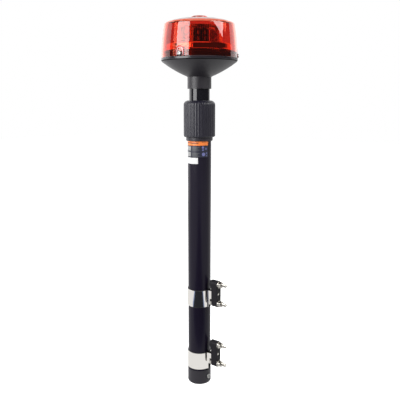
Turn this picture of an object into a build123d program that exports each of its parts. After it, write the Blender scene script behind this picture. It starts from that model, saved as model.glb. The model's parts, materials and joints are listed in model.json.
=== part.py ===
from build123d import *
import os
from math import asin, cos, pi, radians, sin

# Telescopic warning light: a red beacon on a two-stage mast with a twist-lock grip,
# held by two band clamps. Millimetres, +Z up, origin on the mast axis at the end cap's
# underside. The clamps' brackets point along +X.

# Clearances
SNUG = 0.05             # between parts that are pushed or screwed together
RUNNING = 0.08          # radial, between parts that slide or turn on each other
FREE = 0.4              # between parts that pass without touching

# Outer tube and end cap
OUTER_TUBE_R = 20.0
OUTER_TUBE_WALL = 1.6
OUTER_TUBE_TOP = 466.0
CAP_R = 20.7
CAP_HEIGHT = 26.0
CAP_FLOOR = 4.0
CAP_EDGE_R = 3.5
CAP_SPIGOT_WALL = 3.0
CAP_SCREW_Z = 13.0
CAP_SCREW_HEAD_R = 4.2
CAP_SCREW_HEAD_H = 2.2
CAP_SCREW_R = 2.0
CAP_SCREW_LENGTH = 5.0
CAP_RECESS_GAP = 0.9

# Inner tube, which slides and turns in the outer tube
INNER_TUBE_R = 17.15
INNER_TUBE_WALL = 2.0
INNER_TUBE_FOOT = 140.0
INNER_TUBE_SEAT = 8.5   # how far the tube enters the beacon above its neck
GUIDE_HEIGHT = 20.0
GUIDE_GAP = 0.3
STOP_RING_HEIGHT = 1.5
STOP_RING_RISE = 0.85
STOP_GROOVE = 0.6
PLUG_FLANGE = 2.0
PLUG_SPIGOT = 14.0
PLUG_WALL = 2.5

# Threaded bush on the tube's upper end
BUSH_R = 22.0
BUSH_COLLAR_R = 22.5
BUSH_COLLAR_Z = 434.8
BUSH_COLLAR_HEIGHT = 5.9
BUSH_LID = 4.0

# Collet that grips the inner tube
COLLET_GAP = 0.3
COLLET_BASE = 3.0
COLLET_HEIGHT = 22.0
COLLET_WALL_LOW = 3.6
COLLET_WALL_HIGH = 1.6
COLLET_SLOTS = 6
COLLET_SLOT_WIDTH = 1.6

# Fluted twist-lock grip
GRIP_R = 26.5
GRIP_HEIGHT = 60.6
GRIP_GAP = 0.3
GRIP_SHOULDER_R = 5.5
GRIP_CHAMFER = 1.6
GRIP_FLUTES = 36
GRIP_FLUTE_R = 1.25
GRIP_FLUTE_DEPTH = 0.85
WIPER_HEIGHT = 3.0
WIPER_R = 19.4
WIPER_DROP = 3.2        # from the grip's top to the wiper's top

# Beacon bowl
NECK_Z = 520.6
NECK_R = 19.9
NECK_HEIGHT = 19.1
CONE_ROOT_RISE = 1.2     # above the neck
CONE_ROOT_OUT = 1.7
CONE_MIDDLE_IN = 15.3    # from the rim
CONE_MIDDLE_DROP = 15.6
CONE_RIM_IN = 0.9
CONE_RIM_DROP = 5.6
BOWL_RIM_STEP = 0.8      # outside the lens
BOWL_RIM_Z = 570.0
BOWL_LIP = 4.4
BOWL_GROOVE = 0.7
BOWL_WALL = 2.7
BOWL_LEDGE = 2.4
PLATE_DROP = 1.0        # the carrier plate's top, below the rim
SOCKET_LID = 2.6
SOCKET_BORE_R = 13.6
BOSS_INSET = 3.0        # screw circle inside the board's edge
BOSS_R = 4.0
BOSS_COUNT = 3

# Lens carrier on the bowl
CARRIER_PLATE = 3.0
CARRIER_SPIGOT_GAP = 0.35
CARRIER_SPIGOT_TOP = 578.6
CARRIER_CROWN_Z = 580.4
CARRIER_CROWN_IN = 3.75
CARRIER_BORE_R = 13.0
CARRIER_WALL = 5.2
SEAL_R = 0.75
SEAL_Z = 576.7

# Red lens
LENS_BASE_R = 62.3
LENS_MIDDLE_IN = 1.55
LENS_SHOULDER_IN = 4.9
LENS_WALL_RISE = 54.8    # from the bowl's rim to the shoulder
LENS_SHOULDER_ROUND = 5.2
LENS_CROWN_RISE = 9.1    # above the shoulder
LENS_BUMP_R = 13.5
LENS_BUMP_RISE = 2.4
LENS_WALL = 2.6
POCKET_DEPTH = 1.6
POCKET_HALF_WIDTH = 6.9
POCKET_RISE = 11.0      # from the screw to the arch's top
LENS_SCREW_Z = 573.7
LENS_SCREW_HEAD_R = 3.5
LENS_SCREW_HEAD_H = 4.4
LENS_SCREW_R = 1.7
LENS_SCREW_LENGTH = 5.4
LENS_SCREW_ANGLES = (-82.6, 37.4, 157.4)    # about Z, from +X

# Light unit inside the lens
BOARD_GAP = 8.15        # inside the carrier
BOARD_THICK = 1.6
STANDOFF = 1.5
POST_AF = 24.0
POST_GAP = 0.2          # below the drum's lid
POST_BORE_R = 5.0
CHIP_SIZE = 5.0
CHIP_THICK = 1.2
CHIP_DROPS = (17.5, 8.0)    # below the post's top
REFLECTOR_TOP_Z = 592.4
REFLECTOR_TOP_OUT = 1.6  # outside the drum
REFLECTOR_FOOT_Z = 581.4
REFLECTOR_FOOT_GAP = 1.55
REFLECTOR_WALL = 1.4
DRUM_R = 37.0
DRUM_INNER_R = 33.0
DRUM_FLANGE_OUT = 4.5
DRUM_FLANGE_THICK = 1.8
DRUM_NECK_DROP = 7.8     # from the drum's top
DRUM_NECK_HEIGHT = 1.6
DRUM_TOP_GAP = 4.4      # below the lens shoulder
DRUM_LID = 2.2
DRUM_FLUTES = 64
DRUM_FLUTE_DEPTH = 1.0

# Battery pack in the inner tube
CELL_R = 13.1
CELL_LENGTH = 50.0
CELL_COUNT = 4
CELL_GAP = 0.2
TRAY_FLOOR = 2.0
SPRING_HEIGHT = 6.0
SPRING_THICK = 0.5
CONTACT_THICK = 2.0
CARRIER_SCREW_R = 1.5
CARRIER_SCREW_HEAD_R = 2.8
CARRIER_SCREW_HEAD_H = 2.0
CARRIER_SCREW_LENGTH = 9.0

# Band clamps: height of each band's middle, and how far above it the bracket's middle is
CLAMPS = {"lower": (44.5, 16.5), "upper": (160.3, 11.2)}
LINER_THICK = 0.5
LINER_PROUD = 0.8
LINER_SPLIT = 1.0
BAND_THICK = 0.6
BAND_HEIGHT = 30.0
EAR_HALF_GAP = 3.4
EAR_END = 36.9
EAR_HOOK = 1.0
BRACKET_HEIGHT = 48.0
BRACKET_WIDTH = 13.0
BRACKET_FACE = 42.0     # from the mast axis
BRACKET_BACK = 30.5
LOBE_BACK = 26.5
LOBE_DROP = 8.0         # straight part of the lobe, from the bracket's top
LOBE_SLANT = 8.0
LOBE_ROUND = 2.0
BRACKET_ROUND = 0.8
SLOT_GAP = 0.15
BOLT_PITCH = 34.5
BOLT_R = 3.0
BOLT_CORE_R = 2.65      # the part inside the bracket and nut
STUD_RELIEF = 0.3       # from the nut to the full-size thread
BOLT_HOLE_GAP = 0.3
BOLT_AF = 10.0
BOLT_HEAD_H = 4.0
BOLT_TIP = 58.0
BOLT_TIP_CHAMFER = 0.8
WASHER_R = 6.0
WASHER_THICK = 1.5
NUT_H = 5.0
LOCK_SCREW_R = 2.5
LOCK_SCREW_LENGTH = 7.0
LOCK_HEAD_R = 3.1
LOCK_HEAD_H = 1.6
LOCK_SUNK = 2.2        # from the bracket's face to the screw's head

# Sizes that follow from the ones above
OUTER_BORE_R = OUTER_TUBE_R - OUTER_TUBE_WALL
INNER_BORE_R = INNER_TUBE_R - INNER_TUBE_WALL
INNER_TUBE_TOP = NECK_Z + NECK_HEIGHT + INNER_TUBE_SEAT
PASS_R = INNER_TUBE_R + COLLET_GAP
BUSH_TOP = OUTER_TUBE_TOP + BUSH_LID
GRIP_Z = BUSH_COLLAR_Z + BUSH_COLLAR_HEIGHT + GRIP_GAP
GRIP_TOP = GRIP_Z + GRIP_HEIGHT
LENS_MIDDLE_R = LENS_BASE_R - LENS_MIDDLE_IN
LENS_SHOULDER_R = LENS_BASE_R - LENS_SHOULDER_IN
POCKET_SEAT_R = LENS_BASE_R - POCKET_DEPTH
LENS_BORE_R = LENS_BASE_R - LENS_WALL
SPIGOT_R = LENS_BORE_R - CARRIER_SPIGOT_GAP
SEAL_CIRCLE_R = LENS_BORE_R - SEAL_R - SNUG
CARRIER_INNER_R = SPIGOT_R - CARRIER_WALL
CARRIER_CROWN_R = SPIGOT_R - CARRIER_CROWN_IN
BOARD_R = CARRIER_INNER_R - BOARD_GAP
BOSS_CIRCLE_R = BOARD_R - BOSS_INSET
BOWL_RIM_R = LENS_BASE_R + BOWL_RIM_STEP
CONE_ROOT = (NECK_R + CONE_ROOT_OUT, NECK_Z + NECK_HEIGHT + CONE_ROOT_RISE)
CONE_MIDDLE = (BOWL_RIM_R - CONE_MIDDLE_IN, BOWL_RIM_Z - CONE_MIDDLE_DROP)
CONE_RIM = (BOWL_RIM_R - CONE_RIM_IN, BOWL_RIM_Z - CONE_RIM_DROP)
BOWL_BORE_R = BOWL_RIM_R - BOWL_WALL
LENS_SHOULDER_Z = BOWL_RIM_Z + LENS_WALL_RISE
LENS_CROWN_Z = LENS_SHOULDER_Z + LENS_CROWN_RISE
PLATE_Z = BOWL_RIM_Z - PLATE_DROP - CARRIER_PLATE
PLATE_TOP = PLATE_Z + CARRIER_PLATE
BOARD_Z = PLATE_TOP + STANDOFF
DRUM_TOP = LENS_SHOULDER_Z - DRUM_TOP_GAP
DRUM_NECK_Z = DRUM_TOP - DRUM_NECK_DROP
DRUM_FLANGE_Z = REFLECTOR_TOP_Z
DRUM_FLANGE_R = DRUM_R + DRUM_FLANGE_OUT
REFLECTOR_TOP_R = DRUM_R + REFLECTOR_TOP_OUT
REFLECTOR_FOOT_R = CARRIER_INNER_R - REFLECTOR_FOOT_GAP
POST_TOP = DRUM_TOP - DRUM_LID - POST_GAP
TRAY_R = INNER_BORE_R - SNUG
TRAY_TOP = INNER_TUBE_TOP - CONTACT_THICK
CELLS_TOP = TRAY_TOP - CELL_GAP
CELLS_FOOT = CELLS_TOP - CELL_COUNT * (CELL_LENGTH + CELL_GAP)
TRAY_FOOT = CELLS_FOOT - SPRING_HEIGHT - TRAY_FLOOR

ON_FLOOR = (Align.CENTER, Align.CENTER, Align.MIN)


def drum(radius, low, high):
    """A plain cylinder about Z between two heights."""
    return Pos(0, 0, low) * Cylinder(radius, high - low, align=ON_FLOOR)


def ring(outer, inner, low, high):
    """A plain tube about Z between two heights."""
    return drum(outer, low, high) - drum(inner, low - 1, high + 1)


def turned(*points):
    """A solid turned about Z from a closed outline of (radius, height) points."""
    return revolve(Plane.XZ * make_face(Polyline(*points, close=True)), Axis.Z)


def pointing(angle, distance, height):
    """The place at an angle about Z, where local Z points outwards."""
    return Rot(0, 0, angle) * Pos(distance, 0, height) * Rot(0, 90, 0)


def around(count, shape):
    """Copies of a shape evenly about Z."""
    return [Rot(0, 0, 360 * i / count) * shape for i in range(count)]


def hexagon(across_flats, height):
    """A hexagonal bar along local Z, with two flats facing local Y."""
    outline = RegularPolygon(across_flats / 2, 6, major_radius=False)
    return extrude(outline, height)


def cross_recess(radius, depth):
    """A cross-shaped driver recess, cut downwards from local Z 0."""
    slot = Box(2 * radius, radius * 0.45, depth, align=(Align.CENTER, Align.CENTER, Align.MAX))
    return slot + Rot(0, 0, 90) * slot


def pan_screw(head_r, head_h, shank_r, length):
    """A screw along local Z, its head above 0 and its shank below."""
    head = Cylinder(head_r, head_h, align=ON_FLOOR)
    head = fillet(head.edges().group_by(Axis.Z)[-1], min(head_r, head_h) * 0.55)
    shank = Pos(0, 0, -length) * Cylinder(shank_r, length, align=ON_FLOOR)
    shank = chamfer(shank.edges().group_by(Axis.Z)[0], shank_r * 0.3)
    return head + shank - Pos(0, 0, head_h) * cross_recess(head_r * 0.55, head_h * 0.6)


def end_cap():
    body = drum(CAP_R, 0, CAP_HEIGHT)
    body = fillet(body.edges().group_by(Axis.Z)[0], CAP_EDGE_R)
    spigot_r = OUTER_BORE_R - SNUG
    body -= ring(OUTER_TUBE_R + SNUG, spigot_r, CAP_FLOOR, CAP_HEIGHT + 1)
    body -= drum(spigot_r - CAP_SPIGOT_WALL, CAP_FLOOR, CAP_HEIGHT + 1)
    recess = pointing(0, OUTER_BORE_R, CAP_SCREW_Z)
    recess *= Cylinder(CAP_SCREW_HEAD_R + CAP_RECESS_GAP, CAP_R, align=ON_FLOOR)
    pilot = pointing(0, 0, CAP_SCREW_Z) * Cylinder(CAP_SCREW_R + SNUG, CAP_R, align=ON_FLOOR)
    return body - recess - pilot


def end_cap_screw():
    place = pointing(0, OUTER_TUBE_R, CAP_SCREW_Z)
    return place * pan_screw(CAP_SCREW_HEAD_R, CAP_SCREW_HEAD_H, CAP_SCREW_R, CAP_SCREW_LENGTH)


def outer_tube():
    body = ring(OUTER_TUBE_R, OUTER_BORE_R, CAP_FLOOR, OUTER_TUBE_TOP)
    hole = pointing(0, 0, CAP_SCREW_Z) * Cylinder(CAP_SCREW_R + SNUG, CAP_R, align=ON_FLOOR)
    return body - hole


def threaded_bush():
    """Sleeve over the tube's upper end, whose lid stops the guide bush."""
    body = drum(BUSH_R, BUSH_COLLAR_Z, BUSH_TOP)
    body += drum(BUSH_COLLAR_R, BUSH_COLLAR_Z, BUSH_COLLAR_Z + BUSH_COLLAR_HEIGHT)
    body = chamfer(body.edges().group_by(Axis.Z)[0], BUSH_COLLAR_R - BUSH_R)
    body -= drum(OUTER_TUBE_R + SNUG, BUSH_COLLAR_Z - 1, OUTER_TUBE_TOP)
    return body - drum(PASS_R, BUSH_COLLAR_Z, BUSH_TOP + 1)


def collet():
    """Tapered ring with slots, standing on the bush."""
    low, high = BUSH_TOP, BUSH_TOP + COLLET_HEIGHT
    body = turned(
        (PASS_R, low),
        (PASS_R + COLLET_WALL_LOW, low),
        (PASS_R + COLLET_WALL_LOW, low + COLLET_BASE),
        (PASS_R + COLLET_WALL_HIGH, high),
        (PASS_R, high),
    )
    slot_foot = low + COLLET_BASE
    slot = Pos(0, 0, slot_foot) * Box(
        2 * BUSH_R, COLLET_SLOT_WIDTH, COLLET_HEIGHT, align=(Align.MIN, Align.CENTER, Align.MIN)
    )
    for cut in around(COLLET_SLOTS, slot):
        body -= cut
    return body


def grip_outline():
    """The grip's fluted outline, seen from above."""
    outline = Circle(GRIP_R)
    centre = GRIP_R + GRIP_FLUTE_R - GRIP_FLUTE_DEPTH
    flute = Pos(centre, 0) * Circle(GRIP_FLUTE_R)
    return outline - around(GRIP_FLUTES, flute)


def grip_collar():
    blank = drum(GRIP_R, GRIP_Z, GRIP_TOP)
    blank = fillet(blank.edges().group_by(Axis.Z)[-1], GRIP_SHOULDER_R)
    blank = chamfer(blank.edges().group_by(Axis.Z)[0], GRIP_CHAMFER)
    body = blank & (Pos(0, 0, GRIP_Z) * extrude(grip_outline(), GRIP_HEIGHT))
    cone_low = BUSH_TOP + COLLET_BASE
    cone_high = BUSH_TOP + COLLET_HEIGHT + FREE
    cavity_r = BUSH_R + FREE
    cone_r = min(PASS_R + COLLET_WALL_LOW + FREE, cavity_r)
    body -= turned(
        (0, GRIP_Z - 1),
        (cavity_r, GRIP_Z - 1),
        (cavity_r, BUSH_TOP + FREE),
        (cone_r, cone_low),
        (PASS_R + COLLET_WALL_HIGH + FREE, cone_high),
        (0, cone_high),
    )
    body -= drum(PASS_R, GRIP_Z, GRIP_TOP + 1)
    wiper_top = GRIP_TOP - WIPER_DROP
    return body - drum(WIPER_R, wiper_top - WIPER_HEIGHT, wiper_top)


def wiper_seal():
    top = GRIP_TOP - WIPER_DROP
    return ring(WIPER_R - SNUG, INNER_TUBE_R + GUIDE_GAP, top - WIPER_HEIGHT + SNUG, top - SNUG)


def guide_bush():
    low = INNER_TUBE_FOOT + GUIDE_GAP
    body = ring(OUTER_BORE_R - RUNNING, INNER_TUBE_R + RUNNING, low, low + GUIDE_HEIGHT)
    return body


def stop_ring():
    low = INNER_TUBE_FOOT + GUIDE_HEIGHT + 2 * GUIDE_GAP
    outer = min(INNER_TUBE_R + STOP_RING_RISE, OUTER_BORE_R - GUIDE_GAP)
    body = ring(outer, INNER_TUBE_R - STOP_GROOVE, low, low + STOP_RING_HEIGHT)
    gap = Pos(0, 0, low - 1) * Box(
        2 * OUTER_TUBE_R, 2 * STOP_RING_HEIGHT, 4 * STOP_RING_HEIGHT,
        align=(Align.MIN, Align.CENTER, Align.MIN),
    )
    return body - gap


def foot_plug():
    flange_r = min(INNER_TUBE_R + STOP_RING_RISE, OUTER_BORE_R - GUIDE_GAP)
    body = drum(flange_r, INNER_TUBE_FOOT - PLUG_FLANGE, INNER_TUBE_FOOT)
    spigot_r = INNER_BORE_R - SNUG
    body += drum(spigot_r, INNER_TUBE_FOOT, INNER_TUBE_FOOT + PLUG_SPIGOT)
    return body - drum(spigot_r - PLUG_WALL, INNER_TUBE_FOOT, INNER_TUBE_FOOT + PLUG_SPIGOT + 1)


def inner_tube():
    body = ring(INNER_TUBE_R, INNER_BORE_R, INNER_TUBE_FOOT, INNER_TUBE_TOP)
    low = INNER_TUBE_FOOT + GUIDE_HEIGHT + 2 * GUIDE_GAP
    groove = ring(OUTER_TUBE_R, INNER_TUBE_R - STOP_GROOVE - SNUG, low, low + STOP_RING_HEIGHT)
    return body - groove


def battery_tray():
    body = drum(TRAY_R, TRAY_FOOT, TRAY_TOP)
    body -= drum(CELL_R + CELL_GAP, TRAY_FOOT + TRAY_FLOOR, TRAY_TOP + 1)
    window_low = CELLS_FOOT + CELL_LENGTH / 2
    window = Pos(TRAY_R, 0, window_low) * Box(
        TRAY_R, CELL_R, CELLS_TOP - CELL_LENGTH / 2 - window_low, align=ON_FLOOR
    )
    return body - window


def battery_cells():
    cells = []
    for i in range(CELL_COUNT):
        foot = CELLS_FOOT + i * (CELL_LENGTH + CELL_GAP)
        can = fillet(drum(CELL_R, foot, foot + CELL_LENGTH - 2).edges(), 0.8)
        cells.append(can + drum(CELL_R * 0.3, foot + CELL_LENGTH - 3, foot + CELL_LENGTH))
    return cells


def contact_spring():
    """Bowed leaf that pushes the cells upwards."""
    low = TRAY_FOOT + TRAY_FLOOR
    high = CELLS_FOOT - SNUG
    half = CELL_R * 0.75
    outer = ThreePointArc((-half, low), (0, high), (half, low))
    inner = ThreePointArc(
        (half - SPRING_THICK, low), (0, high - SPRING_THICK), (SPRING_THICK - half, low)
    )
    face = make_face([outer, Line(outer @ 1, inner @ 0), inner, Line(inner @ 1, outer @ 0)])
    return extrude(Plane.XZ * face, CELL_R * 0.35, both=True)


def contact_disc():
    body = drum(TRAY_R, TRAY_TOP, TRAY_TOP + CONTACT_THICK - SNUG)
    return body - drum(CELL_R * 0.25, TRAY_TOP, TRAY_TOP + CONTACT_THICK)


def bowl_outline():
    """Half section of the bowl's outside, from the axis round to the rim."""
    root, middle, rim = CONE_ROOT, CONE_MIDDLE, CONE_RIM
    neck_top = (NECK_R, NECK_Z + NECK_HEIGHT)
    lip_z = BOWL_RIM_Z - BOWL_LIP
    edge = Polyline(
        (0, NECK_Z), (NECK_R, NECK_Z), neck_top, root
    ) + ThreePointArc(root, middle, rim)
    edge += Polyline(
        rim, (BOWL_RIM_R - BOWL_GROOVE, lip_z - BOWL_GROOVE), (BOWL_RIM_R - BOWL_GROOVE, lip_z),
        (BOWL_RIM_R, lip_z + 0.5), (BOWL_RIM_R, BOWL_RIM_Z - 0.6), (BOWL_RIM_R - 0.6, BOWL_RIM_Z),
        (0, BOWL_RIM_Z), (0, NECK_Z)
    )
    return make_face(edge)


def bowl_hollow():
    """Half section of the bowl's inside, one wall above its outside."""
    rise = BOWL_WALL * 1.15
    socket_r = NECK_R
    floor_z = INNER_TUBE_TOP + SOCKET_LID
    start = (socket_r, floor_z)
    slope = (CONE_MIDDLE[1] - CONE_ROOT[1]) / (CONE_MIDDLE[0] - CONE_ROOT[0])
    root = (socket_r, CONE_ROOT[1] + rise + slope * (socket_r - CONE_ROOT[0]))
    middle = (CONE_MIDDLE[0], CONE_MIDDLE[1] + rise)
    corner = (BOWL_BORE_R - BOWL_LEDGE, CONE_RIM[1] + rise - BOWL_LEDGE)
    edge = Polyline((0, floor_z), start, root) + ThreePointArc(root, middle, corner)
    edge += Polyline(
        corner, (BOWL_BORE_R - BOWL_LEDGE, PLATE_Z), (BOWL_BORE_R, PLATE_Z),
        (BOWL_BORE_R, BOWL_RIM_Z + 1), (0, BOWL_RIM_Z + 1), (0, floor_z)
    )
    return make_face(edge)


def beacon_bowl():
    body = revolve(Plane.XZ * bowl_outline(), Axis.Z)
    body -= revolve(Plane.XZ * bowl_hollow(), Axis.Z)
    body -= drum(INNER_TUBE_R + SNUG, NECK_Z - 1, INNER_TUBE_TOP)
    body -= drum(SOCKET_BORE_R, NECK_Z, BOWL_RIM_Z)
    boss = Pos(BOSS_CIRCLE_R, 0, 0) * drum(BOSS_R, CONE_MIDDLE[1], PLATE_Z)
    pilot = Pos(BOSS_CIRCLE_R, 0, 0) * drum(
        CARRIER_SCREW_R + SNUG, PLATE_TOP - CARRIER_SCREW_LENGTH - 0.5, PLATE_Z + 1
    )
    for stud in around(BOSS_COUNT, boss):
        body += stud
    for hole in around(BOSS_COUNT, pilot):
        body -= hole
    return body


def lens_carrier():
    """Black ring that the lens goes over and is screwed to."""
    body = drum(BOWL_BORE_R - SNUG, PLATE_Z, PLATE_TOP)
    body += turned(
        (0, PLATE_TOP), (SPIGOT_R, PLATE_TOP), (SPIGOT_R, CARRIER_SPIGOT_TOP),
        (CARRIER_CROWN_R, CARRIER_CROWN_Z), (0, CARRIER_CROWN_Z)
    )
    body -= drum(CARRIER_INNER_R, PLATE_TOP, CARRIER_CROWN_Z + 1)
    body -= drum(CARRIER_BORE_R, PLATE_Z - 1, PLATE_TOP + 1)
    body += ring(CARRIER_BORE_R + 4, CARRIER_BORE_R, PLATE_TOP, BOARD_Z)
    body -= Pos(0, 0, SEAL_Z) * Torus(SEAL_CIRCLE_R, SEAL_R + SNUG)
    shank = Pos(BOSS_CIRCLE_R, 0, 0) * drum(CARRIER_SCREW_R + SNUG, PLATE_Z - 1, PLATE_TOP + 1)
    for hole in around(BOSS_COUNT, shank):
        body -= hole
    for angle in LENS_SCREW_ANGLES:
        pilot = Cylinder(LENS_SCREW_R + SNUG, LENS_BASE_R, align=ON_FLOOR)
        body -= pointing(angle, CARRIER_INNER_R, LENS_SCREW_Z) * pilot
    return body


def carrier_screws():
    screw = pan_screw(
        CARRIER_SCREW_HEAD_R, CARRIER_SCREW_HEAD_H, CARRIER_SCREW_R, CARRIER_SCREW_LENGTH
    )
    return around(BOSS_COUNT, Pos(BOSS_CIRCLE_R, 0, PLATE_TOP) * screw)


def lens_seal():
    return Pos(0, 0, SEAL_Z) * Torus(SEAL_CIRCLE_R, SEAL_R)


def lens_shape(inset):
    """The lens's outer form, drawn in by a wall."""
    foot = BOWL_RIM_Z
    middle_z = (foot + LENS_SHOULDER_Z) / 2
    shoulder = (LENS_SHOULDER_R - inset, LENS_SHOULDER_Z - inset)
    crown_z = LENS_CROWN_Z - inset
    rise = crown_z - shoulder[1]
    sphere_r = (shoulder[0] ** 2 + rise ** 2) / (2 * rise)
    half_turn = asin(shoulder[0] / sphere_r) / 2
    half_way = (sphere_r * sin(half_turn), crown_z - sphere_r * (1 - cos(half_turn)))
    side = ThreePointArc((LENS_BASE_R - inset, foot), (LENS_MIDDLE_R - inset, middle_z), shoulder)
    crown = ThreePointArc(shoulder, half_way, (0, crown_z))
    axis = Polyline((0, crown_z), (0, foot), (LENS_BASE_R - inset, foot))
    face = make_face(side + crown + axis)
    corner = face.vertices().sort_by(Axis.X)[-2:].sort_by(Axis.Y)[-1]
    face = fillet(corner, LENS_SHOULDER_ROUND - inset)
    return revolve(Plane.XZ * face, Axis.Z)


def lens_pocket():
    """Cutter for an arch-topped recess with a screw hole: local Z outwards, local -X up."""
    arch_centre = POCKET_RISE - POCKET_HALF_WIDTH
    depth = LENS_BASE_R - POCKET_SEAT_R + 2
    foot = LENS_SCREW_Z - BOWL_RIM_Z
    outline = Pos(-arch_centre, 0) * Circle(POCKET_HALF_WIDTH)
    outline += Pos((foot + 1 - arch_centre) / 2, 0) * Rectangle(
        foot + 1 + arch_centre, 2 * POCKET_HALF_WIDTH
    )
    hole = Pos(0, 0, -2 * LENS_WALL) * Cylinder(
        LENS_SCREW_R + SNUG, 2 * LENS_WALL + depth, align=ON_FLOOR
    )
    return extrude(outline, depth) + hole


def lens():
    body = lens_shape(0)
    bump = drum(LENS_BUMP_R, LENS_SHOULDER_Z, LENS_CROWN_Z + LENS_BUMP_RISE)
    body += fillet(bump.edges().group_by(Axis.Z)[-1], LENS_BUMP_RISE * 0.8)
    body -= lens_shape(LENS_WALL)
    body -= drum(LENS_BORE_R, BOWL_RIM_Z - 1, CARRIER_SPIGOT_TOP + FREE)
    for angle in LENS_SCREW_ANGLES:
        body -= pointing(angle, POCKET_SEAT_R, LENS_SCREW_Z) * lens_pocket()
    return body


def lens_screws():
    screw = pan_screw(LENS_SCREW_HEAD_R, LENS_SCREW_HEAD_H, LENS_SCREW_R, LENS_SCREW_LENGTH)
    return [pointing(angle, POCKET_SEAT_R, LENS_SCREW_Z) * screw for angle in LENS_SCREW_ANGLES]


def circuit_board():
    body = ring(BOARD_R, POST_BORE_R, BOARD_Z, BOARD_Z + BOARD_THICK)
    for notch in around(BOSS_COUNT, Pos(BOSS_CIRCLE_R, 0, 0) * drum(BOSS_R, BOARD_Z - 1, BOARD_Z + 4)):
        body -= notch
    return body


def light_post():
    foot = BOARD_Z + BOARD_THICK
    body = Pos(0, 0, foot) * Rot(0, 0, 30) * hexagon(POST_AF, POST_TOP - foot)
    body += drum(POST_AF * 0.75, foot, foot + 3)
    return body - drum(POST_BORE_R, foot - 1, POST_TOP + 1)


def light_chips():
    chip = Box(CHIP_SIZE, CHIP_SIZE, CHIP_THICK, align=ON_FLOOR)
    chip -= Pos(0, 0, CHIP_THICK) * Cylinder(CHIP_SIZE * 0.36, CHIP_THICK * 0.6)
    chips = []
    for drop in CHIP_DROPS:
        chips += [pointing(60 * i, POST_AF / 2, POST_TOP - drop) * chip for i in range(6)]
    return chips


def reflector():
    """Bright flared skirt below the drum, standing on the carrier ring."""
    outer = ThreePointArc(
        (REFLECTOR_FOOT_R, REFLECTOR_FOOT_Z),
        ((REFLECTOR_FOOT_R + REFLECTOR_TOP_R) / 2 - 0.8, (REFLECTOR_FOOT_Z + REFLECTOR_TOP_Z) / 2),
        (REFLECTOR_TOP_R, REFLECTOR_TOP_Z),
    )
    inner_r = BOARD_R + 1.5
    foot = BOARD_Z + BOARD_THICK
    shape = make_face(
        outer + Polyline(
            (REFLECTOR_TOP_R, REFLECTOR_TOP_Z), (REFLECTOR_TOP_R - 6, REFLECTOR_TOP_Z),
            (REFLECTOR_TOP_R - 6, REFLECTOR_TOP_Z - REFLECTOR_WALL),
            (REFLECTOR_TOP_R - 1, REFLECTOR_TOP_Z - REFLECTOR_WALL),
            (inner_r - REFLECTOR_WALL, REFLECTOR_FOOT_Z + 2), (inner_r - REFLECTOR_WALL, PLATE_TOP),
            (inner_r, PLATE_TOP), (inner_r, REFLECTOR_FOOT_Z),
            (REFLECTOR_FOOT_R, REFLECTOR_FOOT_Z)
        )
    )
    return revolve(Plane.XZ * shape, Axis.Z)


def drum_section(radius):
    """Star outline of the drum's flutes, seen from above."""
    points = []
    for i in range(2 * DRUM_FLUTES):
        r = radius - (i % 2) * DRUM_FLUTE_DEPTH
        turn = pi * i / DRUM_FLUTES
        points.append((r * cos(turn), r * sin(turn)))
    return make_face(Polyline(*points, close=True))


def drum_optic():
    foot = DRUM_FLANGE_Z
    body = Pos(0, 0, foot) * extrude(drum_section(DRUM_R), DRUM_NECK_Z - foot)
    neck_top = DRUM_NECK_Z + DRUM_NECK_HEIGHT
    body += drum(DRUM_R - 2 * DRUM_FLUTE_DEPTH, DRUM_NECK_Z - 1, neck_top + 1)
    body += Pos(0, 0, neck_top) * extrude(drum_section(DRUM_R), DRUM_TOP - neck_top)
    body += drum(DRUM_FLANGE_R, foot, foot + DRUM_FLANGE_THICK)
    return body - drum(DRUM_INNER_R, foot - 1, DRUM_TOP - DRUM_LID)


def clamp_liner(band_z):
    half = BAND_HEIGHT / 2 + LINER_PROUD
    body = ring(OUTER_TUBE_R + LINER_THICK, OUTER_TUBE_R + SNUG / 2, band_z - half, band_z + half)
    split = Pos(OUTER_TUBE_R, 0, band_z) * Box(OUTER_TUBE_R, LINER_SPLIT, 3 * half)
    return body - split


def clamp_band(band_z, bolt_z):
    """Strip round the tube with two ears, each hooked outwards and cut away round a bolt head."""
    half = BAND_HEIGHT / 2
    inner_r = OUTER_TUBE_R + LINER_THICK + SNUG / 2
    body = ring(inner_r + BAND_THICK, inner_r, band_z - half, band_z + half)
    body -= Pos(inner_r, 0, band_z) * Box(inner_r, 2 * EAR_HALF_GAP, 3 * half)
    low = (Align.MIN, Align.MIN, Align.CENTER)
    for side in (0, 1):
        ear = Pos(inner_r, EAR_HALF_GAP, band_z) * Box(
            EAR_END - inner_r, BAND_THICK, BAND_HEIGHT, align=low
        )
        ear += Pos(EAR_END - BAND_THICK, EAR_HALF_GAP, band_z) * Box(
            BAND_THICK, BAND_THICK + EAR_HOOK, BAND_HEIGHT, align=low
        )
        body += mirror(ear, Plane.XZ) if side else ear
    reach = BRACKET_BACK - BOLT_HEAD_H - 1
    window = Pos(reach, 0, bolt_z) * Box(
        BRACKET_BACK + 0.5 - reach, BOLT_AF, BOLT_AF + 3, align=(Align.MIN, Align.CENTER, Align.CENTER)
    )
    return body - window


def bracket_outline():
    """The bracket's side view: X outwards from the mast, Y up from its middle."""
    half = BRACKET_HEIGHT / 2
    slant_top = half - LOBE_DROP
    points = [
        (BRACKET_FACE, -half), (BRACKET_FACE, half), (LOBE_BACK, half),
        (LOBE_BACK, slant_top), (BRACKET_BACK, slant_top - LOBE_SLANT), (BRACKET_BACK, -half),
    ]
    face = make_face(Polyline(*points, close=True))
    top_inner = face.vertices().sort_by(Axis.X)[:2].sort_by(Axis.Y)[-1]
    return fillet(top_inner, LOBE_ROUND)


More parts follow.
